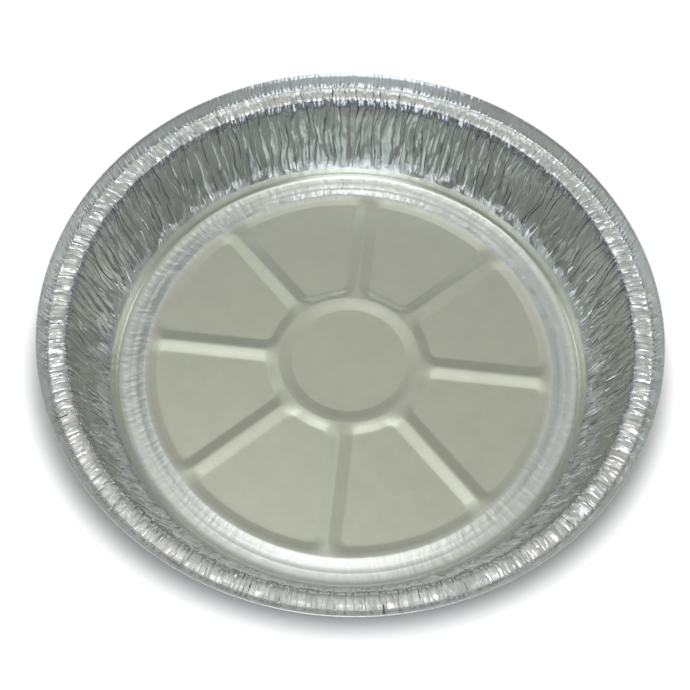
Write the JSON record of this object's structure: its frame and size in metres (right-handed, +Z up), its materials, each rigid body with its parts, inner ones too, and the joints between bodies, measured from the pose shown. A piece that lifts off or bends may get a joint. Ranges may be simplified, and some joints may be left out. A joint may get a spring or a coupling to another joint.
{
  "type": "foil pie tin",
  "caption": "Round shallow tin pressed from one thin aluminium sheet, with a ribbed base, a pleated leaning wall and a crinkled, flanged rim.",
  "frame": {"origin": "middle of the tin, on the surface that its foot ring stands on", "axes": "+Z up through the open mouth; the first spoke of the base lies near +X"},
  "size_m": [0.2297, 0.2296, 0.0458],
  "materials": {
    "foil": "thin rolled foil, satin on the flats and bright on the creases"
  },
  "bodies": {
    "root": {"foil_pan": "foil"}
  },
  "joints": []
}
